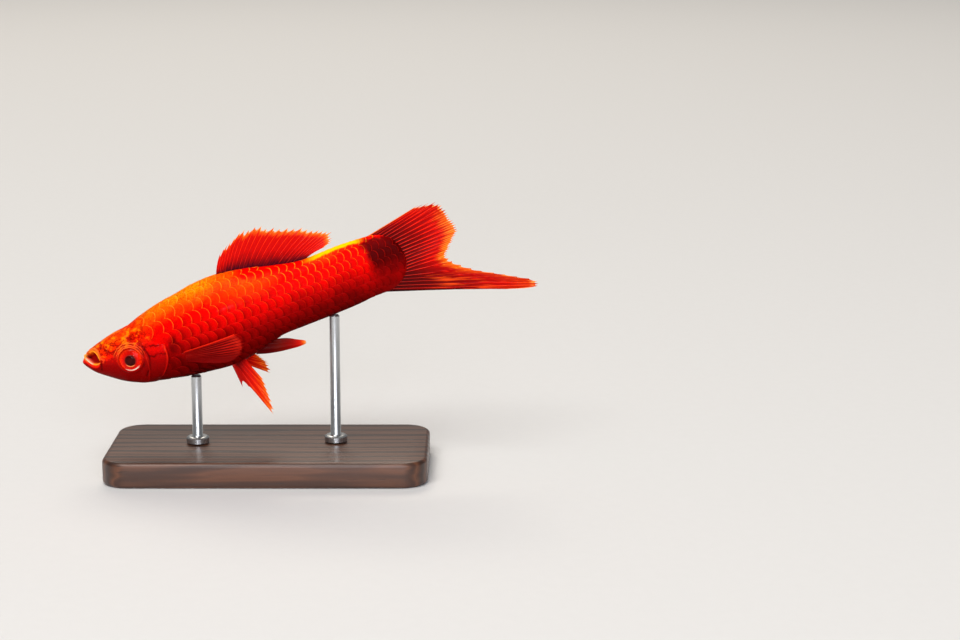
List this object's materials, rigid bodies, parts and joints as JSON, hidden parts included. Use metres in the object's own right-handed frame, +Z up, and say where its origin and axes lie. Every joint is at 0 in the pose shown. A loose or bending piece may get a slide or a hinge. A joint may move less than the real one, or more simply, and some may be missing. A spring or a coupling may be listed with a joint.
{
  "type": "swordtail fish model",
  "caption": "Life-size male swordtail fish in a head-down swimming pose, with ridged fins and a long sword on the tail, held over a flat base by rods.",
  "frame": {"origin": "centre of the underside of the display base, on the surface that it stands on", "axes": "+X towards the fish's tail, +Y towards the fish's right side, +Z up"},
  "size_m": [0.088, 0.03, 0.0521],
  "materials": {
    "skin": "wet scaled fish skin, red with an orange back",
    "eye": "glossy cornea over a red iris and a dark pupil",
    "fin": "thin red fin membrane over fin rays",
    "dark_wood": "dark stained wood, satin",
    "steel": "fine brushed steel"
  },
  "bodies": {
    "root": {"head": "skin", "trunk": "skin", "tail_base": "skin", "eye_left": "eye", "eye_right": "eye", "dorsal_fin": "fin", "tail_fan": "fin", "sword": "fin", "breast_fin_left": "fin", "breast_fin_right": "fin", "belly_fin_left": "fin", "belly_fin_right": "fin", "gonopodium": "fin", "stand_base": "dark_wood", "stand_rod_front": "steel", "stand_rod_rear": "steel"}
  },
  "joints": []
}
